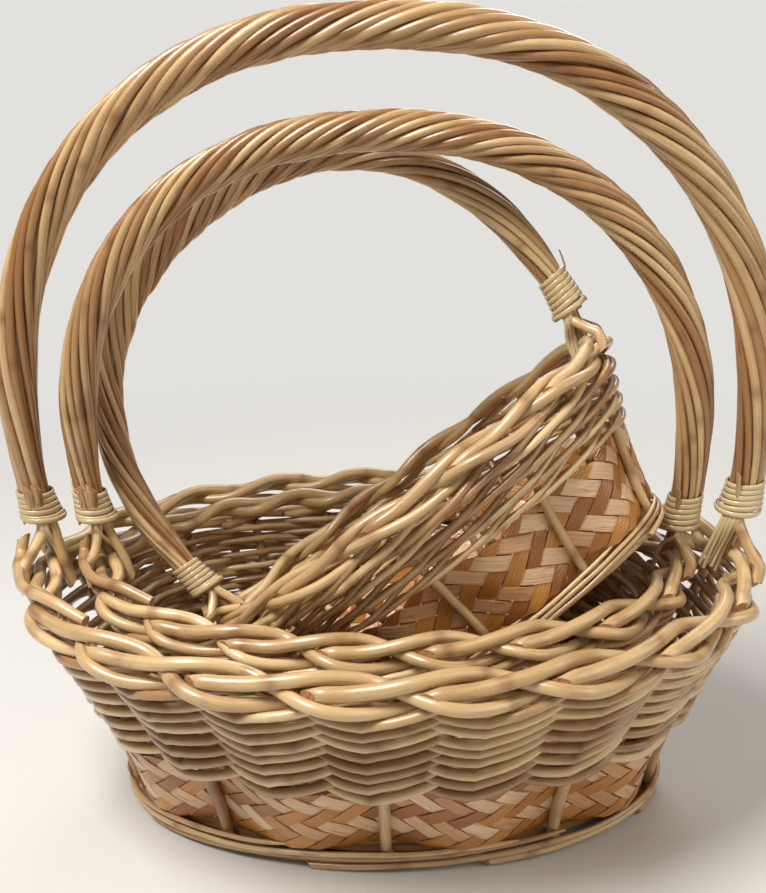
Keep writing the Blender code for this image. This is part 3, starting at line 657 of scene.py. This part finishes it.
def weaver_lines(b, dice):
    low = chip_top(b) + b["weaver"] * 0.6
    high = border_bottom(b) + 0.95 * b["border"]
    beats = b["beats"]
    gaps = beats * math.ceil(((high - low) / b["weaver"] / PACKED_SHARE + 1) / beats)
    pitch = (high - low) / (gaps - 1)
    lines = []
    for k in range(STAKES):
        seed = k + len(b["label"]) * 20
        size = dice.uniform(*b["fill"]) * pitch / 2
        points, widths = [], []
        for i in range(gaps * SPOTS_PER_GAP + 1):
            p = i / SPOTS_PER_GAP
            whole = math.floor(p)
            share = p - whole
            knee = share + 0.10 * math.sin(2 * math.pi * share)
            kinked = whole - 1 + (2 * knee if whole % 2 else 0) + 0.08 * math.sin(math.pi * p)
            climb = b["kink"] * kinked + (1 - b["kink"]) * (p - 1) + b["loose"] * drift(seed, p * 0.8)
            share_up = max(climb, -0.4) / (gaps - 1)
            height = low + (high - low) * share_up * (1 + b["taper"] * (share_up - 1) / 2)
            half = size * (1 + b["taper"] * (p / gaps - 0.5))
            side = 0.35 * (beats - 2) - math.cos(2 * math.pi * p / beats)
            out = math.copysign(min(1, abs(side)) ** 0.85, side) * (b["stake"] / 2 + half)
            points.append(wall(b, k + p, min(height, high + 0.25 * pitch * math.sin(p * 5)), out)[0])
            widths.append(half)
        widths[-1] *= 0.6
        lines.append((points, widths, dice.uniform(0.2, 0.95), None))
    for n in range(JOINED_ENDS):
        start = STAKES * (n + dice.uniform(0.1, 0.9)) / JOINED_ENDS
        height = low + (high - low) * dice.uniform(0.25, 0.85)
        half = pitch * 0.5
        points = []
        for i in range(9):
            out = -(b["stake"] / 2 + half * (2.5 - 0.22 * i))
            points.append(wall(b, start + 0.13 * i, height + 0.08 * pitch * i, out)[0])
        lines.append((points, [half] * 9, dice.uniform(0.5, 1), None))
    return lines


for name, b in BASKETS.items():
    lines = weaver_lines(b, random.Random("weave of " + name))
    piece = rods(name + "_wall_weave", lines, b["place"], crooked=0.0006)
    settle(piece, name, "varnished_willow", "wale_rod")


# Border.
# Thick willow rods in a three-strand plait over the stake ends. Every rod starts with a slanted
# butt on the outer side, climbs slowly to the inner edge, falls back quickly and dives under.
give(rods=(18, 18, 12))
PLAIT_WIDE, PLAIT_DEEP = 1.05, 0.60
PLAIT_TILT_SHARE = math.sqrt(0.5)
BORDER_STEPS = 49
BUTT_SHARES = (0.62, 0.86)


def border_lines(b, dice):
    lines = []
    apart = STAKES / b["rods"]
    for k in range(b["rods"]):
        early = dice.uniform(0.24, 0.42)
        reach = 2.75 + dice.uniform(-0.10, 0.08)
        thick = dice.uniform(0.84, 0.95)
        points, widths = [], []
        for i in range(BORDER_STEPS + 1):
            share = i / BORDER_STEPS
            gone = -early + share * (reach + early)
            turn = 2 * math.pi * gone / 3
            across = PLAIT_WIDE * b["border"] * math.sin(turn - 0.7 * math.sin(turn))
            passed = 2 * (max(turn, 0) - 0.35 * math.sin(max(turn, 0)))
            lifted = 0.66 * (1 - smooth(share * 5)) - 0.55 * smooth(share * 7 - 6)
            proud = b["border"] * (PLAIT_DEEP * math.sin(passed) + lifted)
            out = (-across + proud) * PLAIT_TILT_SHARE
            up = (across + proud) * PLAIT_TILT_SHARE
            points.append(beside_rim(b, (k + gone) * apart - 0.25, out, up))
            half = b["border"] / 2 * thick * (1.03 - 0.20 * share)
            butt = BUTT_SHARES[i] if i < len(BUTT_SHARES) else 1
            widths.append(half * butt * (1 - 0.5 * smooth(share * 20 - 19)))
        # Each border rod has its own random tone, kept to the paler ones as painted light on the lit top of
        # the border
        lines.append((points, widths, dice.uniform(0.5, 1), None))
    return lines


for name, b in BASKETS.items():
    lines = border_lines(b, random.Random("border of " + name))
    piece = rods(name + "_plaited_border", lines, b["place"], sides=12, knots=0.13, swelling=0.04, slant=1.5)
    settle(piece, name, "varnished_willow", "border_rod")


# Handle.
# A stiff bow wrapped full length by ten or eleven willow rods laid side by side, which turn
# round it like the strands of a rope, draw in at the feet and end inside the bindings.
give(span=(0.2190, 0.1840, 0.1465),
     top=(0.4825, 0.415, 0.322),
     widest=(0.248, 0.222, 0.166),
     thick=(0.025, 0.023, 0.020),
     strands=(11, 11, 10),
     bound=((0.0200, 0.0180), (0.0110, 0.0170), (0.0120, 0.0105)))
SQUARENESS = 2.2
HOOP_STEPS, HOOP_FINE_STEPS = 128, 1600
HANDLE_TURNS = 3.2
FOOT_SHARE = 0.70
STRANDS_INSIDE = 0.001


def hoop_point(b, angle):
    power = 2 / SQUARENESS
    across = math.copysign(abs(math.cos(angle)) ** power, math.cos(angle))
    above = math.copysign(abs(math.sin(angle)) ** power, math.sin(angle))
    return Vector((b["span"] * across, 0, b["widest"] + (b["top"] - b["thick"] / 2 - b["widest"]) * above))


def hoop_low(b, height):
    """The hoop's angle below its widest place at which it comes down to a height."""
    return math.asin(((b["widest"] - height) / (b["top"] - b["thick"] / 2 - b["widest"])) ** (SQUARENESS / 2))


def hoop_line(b, right, left):
    """Even points along the hoop, from a height at its right foot to one at its left, with axes."""
    start, end = -hoop_low(b, right), math.pi + hoop_low(b, left)
    fine = [hoop_point(b, start + (end - start) * k / HOOP_FINE_STEPS) for k in range(HOOP_FINE_STEPS + 1)]
    length = [0]
    for before, after in zip(fine, fine[1:]):
        length.append(length[-1] + (after - before).length)
    line, i = [], 0
    for k in range(HOOP_STEPS + 1):
        target = length[-1] * k / HOOP_STEPS
        while i < HOOP_FINE_STEPS - 1 and length[i + 1] < target:
            i += 1
        along = (fine[i + 1] - fine[i]).normalized()
        point = fine[i] + along * (target - length[i])
        line.append((point, Vector((along.z, 0, -along.x))))
    return line


def foot_swell(share):
    """The handle's thickness as a share of its full thickness: it draws in at the feet."""
    return FOOT_SHARE + (1 - FOOT_SHARE) * smooth(min(share, 1 - share) * 7.5)


def handle_lines(b, dice):
    """The bow, drawn thinner than its wrapping, and the strands that turn round it."""
    radius = b["thick"] / 2
    half = math.pi * radius / (b["strands"] + math.pi) * 0.99
    rim = b["height"] - b["border"]
    points = [middle for middle, _ in hoop_line(b, rim, rim)]
    widths = [radius * foot_swell(k / HOOP_STEPS) - 1.5 * half for k in range(HOOP_STEPS + 1)]
    lines = [(points, widths, 0.2, None)]
    hoop = hoop_line(b, *[b["height"] + bound + STRANDS_INSIDE for bound in b["bound"]])
    for n in range(b["strands"]):
        size = dice.uniform(0.84, 1.12)
        start = 2 * math.pi * n / b["strands"]
        points, widths = [], []
        for k, (middle, away) in enumerate(hoop):
            share = k / HOOP_STEPS
            turn = start - HANDLE_TURNS * (2 * math.pi * share - 0.6 * math.sin(2 * math.pi * share))
            turn += 0.16 * drift(n + 5, share * 9)
            swell = foot_swell(share)
            ring = radius * swell - half * swell + 0.0006 * drift(n + 30, share * 14)
            points.append(middle + away * ring * math.cos(turn) + Vector((0, ring * math.sin(turn), 0)))
            widths.append(half * size * swell)
        # Each strand has its own random tone, kept to the darker ones as painted shade on the handle
        lines.append((points, widths, dice.uniform(0.05, 0.75), None))
    return lines


for name, b in BASKETS.items():
    lines = handle_lines(b, random.Random("handle of " + name))
    piece = rods(name + "_rope_handle", lines, b["place"], sides=9, crooked=0.0008, knots=0.16, swelling=0.06)
    settle(piece, name, "varnished_willow", "handle")


# Leader rods.
# Below each binding a few thick rods come out from under the cane, bend over the border and end
# on its outer side in a slanted cut. Raw ends of thinner rods stand up above the cane in front.

# A leader goes down in front of the foot (-1) or behind it (1), this share of a stake gap away.
give(leaders=(((-1, 0.13), (-1, 0.27), (1, 0.20)),
              ((-1, 0.13), (-1, 0.27), (1, 0.20)),
              ((-1, 0.30), (1, 0.25))),
     raw=(6, 7, 0),
     turns=(6, 6, 7))
CANE_PITCH = 0.0033
RAW_HALVES = [0.0013, 0.0015, 0.0015]


def through(corners, steps):
    """A smooth line through a few corners, with this many steps from each to the next."""
    ends = [corners[0] * 2 - corners[1]] + corners + [corners[-1] * 2 - corners[-2]]
    line = []
    for a, b, c, d in zip(ends, ends[1:], ends[2:], ends[3:]):
        for i in range(steps):
            t = i / steps
            line.append((b * 2 + (c - a) * t + (a * 2 - b * 5 + c * 4 - d) * t ** 2
                         + (b * 3 - a - c * 3 + d) * t ** 3) / 2)
    return line + [corners[-1]]


def foot_stake(side):
    """The place of the handle's foot, in stakes gone round."""
    return -0.5 if side > 0 else STAKES / 2 - 0.5


def binding_bottom(b, side):
    return b["height"] + b["bound"][0 if side > 0 else 1]


def foot_spot(b, side, height, turn, reach):
    """A point beside the foot of the handle: turn 0 is away from the basket, -90 degrees in front."""
    middle = hoop_point(b, -hoop_low(b, height))
    return Vector((side * (middle.x + math.cos(turn) * reach), math.sin(turn) * reach, height))


def leader_paths(b, side):
    """Corners of the rods over the border, and on the left of one inside and of a late butt."""
    rod = b["border"]
    foot = foot_stake(side)
    under, inside = binding_bottom(b, side) - 0.003, binding_bottom(b, side) + 0.006
    paths = []
    for face, ahead in b["leaders"]:
        toward = face * side
        paths.append([beside_rim(b, foot + toward * (ahead + 0.12), 0.90 * rod, -0.1 * rod),
                      beside_rim(b, foot + toward * (ahead + 0.06), 1.10 * rod, 0.9 * rod),
                      beside_rim(b, foot + toward * ahead, 0.60 * rod, 1.65 * rod),
                      foot_spot(b, side, under, face * (1.5 + ahead), b["thick"] * 0.34),
                      foot_spot(b, side, inside, face * (1.6 + ahead), b["thick"] * 0.26)])
    if side < 0:
        paths.append([beside_rim(b, foot + 0.16, -1.8 * rod, -0.5 * rod),
                      beside_rim(b, foot + 0.13, -1.4 * rod, 1.0 * rod),
                      foot_spot(b, side, under, -2.5, b["thick"] * 0.34),
                      foot_spot(b, side, inside, -2.5, b["thick"] * 0.26)])
        paths.append([beside_rim(b, foot + ahead, out * rod, up * rod) for ahead, out, up in (
            (0.06, 1.30, 2.4), (0.12, 1.45, 1.5), (0.35, 1.30, 1.15),
            (0.80, 0.85, 1.35), (1.25, 0.05, 1.6), (1.65, -0.80, 0.9))])
    return paths


def leader_lines(b, side, dice):
    lines = []
    for corners in leader_paths(b, side):
        points = through(corners, 8)
        half = b["border"] * dice.uniform(0.36, 0.41)
        widths = [half * (1 - 0.10 * i / len(points)) for i in range(len(points))]
        lines.append((points, widths, dice.uniform(0.4, 1), None))
    height = binding_bottom(b, side) + CANE_PITCH * b["turns"]
    for n in range(b["raw"] if side < 0 else min(1, b["raw"])):
        turn = -2.2 + 0.13 * n + dice.uniform(-0.04, 0.04)
        tip = foot_spot(b, side, height + dice.uniform(0.003, 0.008), turn, b["thick"] * 0.53)
        root = foot_spot(b, side, height - 0.008, turn + 0.1, b["thick"] * 0.41)
        lines.append(([tip, (tip + root) / 2, root], RAW_HALVES, dice.random(), None))
    return lines


SIDES = ((1, "right"), (-1, "left"))
for name, b in BASKETS.items():
    for side, label in SIDES:
        title = "%s_leader_rods_%s" % (name, label)
        lines = leader_lines(b, side, random.Random(title))
        piece = rods(title, lines, b["place"], sides=10, knots=0.05, swelling=0.06, slant=1.1)
        settle(piece, name, "varnished_willow")


# Foot bindings.
# Split cane wound round each foot of the handle, close at the top, looser and wider below, with its
# end left sticking out. Flat split strips hang from under it inside the border.
give(hanging=((5, 2), (1, 1), (3, 0)))
CANE_HALF = 0.0017
STRIP_HALF = 0.0013
SPOTS_PER_TURN = 20
LOOSE_SPOTS = 44


def cane_finish():
    """Split cane: pale, shiny, hard skin with very fine ribs along it."""
    finish, tree, shader = new_finish("glossy_split_cane")
    tone = add(tree, "ShaderNodeAttribute", attribute_name="tone").outputs["Fac"]
    skin = add(tree, "ShaderNodeAttribute", attribute_name="grain").outputs["Vector"]
    # Ribs about 0.2 mm apart and 20 mm long
    grain = add(tree, "ShaderNodeMapping", {0: skin, 3: (5, 5, 30)})
    rib = add(tree, "ShaderNodeTexNoise", {0: grain, "Scale": 1.6, "Detail": 3})
    colour = add(tree, "ShaderNodeMix", {0: tone, 6: "9C7A46", 7: "DCC89E"}, data_type="RGBA")
    colour = darken(tree, colour, rib, 0.45, 0.72, 0.5, "87632F")
    feed(tree, shader, {"Base Color": colour, "Roughness": 0.26, "Coat Weight": 0.5, "Coat Roughness": 0.12})
    return finish


def grow_cane_tree():
    """Gives each line a flat oval skin whose broad side lies square to the line's facing."""
    tree, given = new_tree("grow_cane", {"Flatness": "Float", "Skin": "Material", "Cut End": "Material"})
    line = add(tree, "GeometryNodeMeshToCurve", {0: given["Geometry"]})
    along = add(tree, "GeometryNodeSplineParameter").outputs["Length"]
    radius = add(tree, "GeometryNodeInputNamedAttribute", {"Name": "radius"})
    for label, value in (("along", along), ("thickness", radius)):
        line = add(tree, "GeometryNodeStoreNamedAttribute", {0: line, "Name": label, "Value": value},
                   data_type="FLOAT")
    facing = add(tree, "GeometryNodeInputNamedAttribute", {"Name": "facing"}, data_type="FLOAT_VECTOR")
    line = add(tree, "GeometryNodeSetCurveNormal", {0: line, "Normal": facing}, mode="FREE")
    ribbon = add(tree, "GeometryNodeCurvePrimitiveCircle", {"Resolution": 10, "Radius": 1})
    ribbon = add(tree, "GeometryNodeStoreNamedAttribute", data_type="FLOAT_VECTOR", inputs={
        0: ribbon, "Name": "round", "Value": add(tree, "GeometryNodeInputPosition")})
    size = add(tree, "ShaderNodeCombineXYZ", (given["Flatness"], 1, 1))
    ribbon = add(tree, "GeometryNodeTransform", {"Geometry": ribbon, "Scale": size})
    skin_lines(tree, line, ribbon, given)
    return tree


def binding_lines(b, side, dice):
    start = binding_bottom(b, side)
    points, widths, facings = [], [], []
    count = b["turns"] * SPOTS_PER_TURN
    for k in range(count + 1):
        turn = 2 * math.pi * k / SPOTS_PER_TURN + dice.uniform(-0.02, 0.02)
        loose = smooth(1 - k / LOOSE_SPOTS)
        height = start + CANE_PITCH * k / SPOTS_PER_TURN + 0.0022 * loose * math.sin(turn * 0.5 + side)
        reach = (b["thick"] / 2 * (0.80 + 0.16 * smooth(1 - k / count)) + 0.0006
                 + 0.0007 * loose * (1 + math.sin(turn * 0.7)))
        points.append(foot_spot(b, side, height, turn, reach))
        facings.append(Vector((side * math.cos(turn), math.sin(turn), 0)))
        widths.append(CANE_HALF)
    last, face = points[-1], facings[-1]
    onward = (points[-1] - points[-2]).normalized()
    for part in range(1, 6):
        rising = Vector((0, 0, 0.00035 * part ** 2))
        points.append(last + onward * 0.0022 * part + face * 0.0005 * part + rising)
        facings.append(face)
        widths.append(CANE_HALF * (1 - 0.09 * part))
    return [(points, widths, dice.uniform(0.55, 1), facings)]


def strip_lines(b, side, dice):
    """Split strips, side by side, from under the cane straight down inside the border."""
    rod = b["border"]
    foot = foot_stake(side)
    bottom = binding_bottom(b, side)
    lines = []
    for n in range(b["hanging"][0 if side > 0 else 1]):
        turn = -1.8 - 0.2 * n
        front = 0.10 + dice.uniform(-0.01, 0.01)
        inward = (0.9 + 0.26 * n) * rod
        corners = [foot_spot(b, side, bottom + 0.005, turn, b["thick"] * 0.42),
                   foot_spot(b, side, bottom - 0.003, turn, b["thick"] * 0.48),
                   beside_rim(b, foot - side * front, -inward, 1.6 * rod),
                   beside_rim(b, foot - side * front, -inward - 0.5 * rod, dice.uniform(-0.3, 0.5) * rod)]
        points = through(corners, 6)
        away = Vector((side * math.cos(turn), math.sin(turn), 0))
        lines.append((points, [STRIP_HALF] * len(points), dice.uniform(0.7, 1), [away] * len(points)))
    return lines


CANE = cane_finish()
CANE_TREE = grow_cane_tree()
for name, b in BASKETS.items():
    for side, label in SIDES:
        dice = random.Random("binding %s %s" % (name, label))
        title = "%s_cane_binding_%s" % (name, label)
        mesh = line_mesh(title, binding_lines(b, side, dice) + strip_lines(b, side, dice), b["place"])
        piece = grow(title, mesh, CANE_TREE, {"Flatness": 0.46, "Skin": CANE, "Cut End": CUT})
        settle(piece, name, "split_cane", "binding_" + label)


# Studio.
# A plain pale floor that fades into an even pale surround, under a large soft lamp from the upper
# front left, a weaker one from the right and one from behind. The camera stands as the photo's did.
PALE = "E3E1DD"
FLOOR_HALF = 6
FADE_START, FADE_END = 0.35, 1.1


def floor_finish():
    """Pale matt floor that keeps the object's shadow and, further off, is as pale as the surround."""
    finish, tree, shader = new_finish("plain_pale_floor")
    feed(tree, shader, {"Base Color": "D8D7D4", "Roughness": 0.9})
    place = add(tree, "ShaderNodeTexCoord").outputs["Object"]
    distance = add(tree, "ShaderNodeVectorMath", (place,), operation="LENGTH").outputs["Value"]
    fade = add(tree, "ShaderNodeMapRange", (distance, FADE_START, FADE_END), interpolation_type="SMOOTHSTEP")
    camera_ray = add(tree, "ShaderNodeLightPath").outputs["Is Camera Ray"]
    share = add(tree, "ShaderNodeMath", (fade, camera_ray), operation="MULTIPLY")
    pale = add(tree, "ShaderNodeEmission", (PALE, 1.0))
    mix = add(tree, "ShaderNodeMixShader", (share, shader, pale))
    feed(tree, tree.nodes["Material Output"], {"Surface": mix})
    return finish


def lamp(name, place, aim, size, power, colour):
    data = bpy.data.lights.new(name, "AREA")
    data.shape = "SQUARE"
    data.size = size
    data.energy = power
    data.color = linear(colour)[:3]
    light = bpy.data.objects.new(name, data)
    light.location = place
    light.rotation_euler = (Vector(aim) - Vector(place)).to_track_quat("-Z", "Y").to_euler()
    bpy.context.scene.collection.objects.link(light)


def surround():
    """A pale world: a soft white for the camera, a dimmer and warmer one as light."""
    world = bpy.data.worlds.new("pale_surround")
    bpy.context.scene.world = world
    world.use_nodes = True
    tree = world.node_tree
    tree.nodes.clear()
    camera_ray = add(tree, "ShaderNodeLightPath").outputs["Is Camera Ray"]
    light = add(tree, "ShaderNodeBackground", ("F2E9DE", 0.24))
    seen = add(tree, "ShaderNodeBackground", (PALE, 1.0))
    mix = add(tree, "ShaderNodeMixShader", (camera_ray, light, seen))
    add(tree, "ShaderNodeOutputWorld", (mix,))


mesh = bpy.data.meshes.new("floor")
corners = [(x * FLOOR_HALF, y * FLOOR_HALF, 0) for x, y in ((-1, -1), (1, -1), (1, 1), (-1, 1))]
mesh.from_pydata(corners, [], [(0, 1, 2, 3)])
mesh.materials.append(floor_finish())
floor = bpy.data.objects.new("floor", mesh)
bpy.context.scene.collection.objects.link(floor)
surround()
lamp("key", (-0.55, -0.45, 1.5), (0, 0, 0.15), 0.6, 29, "FFFCF8")
lamp("fill", (1.3, -0.5, 0.9), (0, 0, 0.15), 1.0, 7, "FFF6EA")
lamp("back", (0.3, 1.3, 1.2), (0, 0, 0.2), 0.9, 9, "FFFFFF")

# The camera's place, lens and turns (in radians) were fitted to the photo
CAMERA_PLACE = (0.0257, -0.5786, 0.4385)
LENS = 41.14
yaw, pitch, roll = 0.045, 0.338, -0.026
right = Vector((math.cos(yaw), math.sin(yaw), 0))
forward = Vector((-math.sin(yaw) * math.cos(pitch), math.cos(yaw) * math.cos(pitch), -math.sin(pitch)))
upward = Vector((-math.sin(yaw) * math.sin(pitch), math.cos(yaw) * math.sin(pitch), math.cos(pitch)))
across = right * math.cos(roll) + upward * math.sin(roll)
rise = upward * math.cos(roll) - right * math.sin(roll)
turned = Matrix((across, rise, -forward)).transposed().to_4x4()
data = bpy.data.cameras.new("photo_camera")
data.lens = LENS
data.clip_start = 0.01
camera = bpy.data.objects.new("photo_camera", data)
camera.matrix_world = Matrix.Translation(CAMERA_PLACE) @ turned
bpy.context.scene.collection.objects.link(camera)
bpy.context.scene.camera = camera
bpy.context.scene.view_settings.view_transform = "Standard"
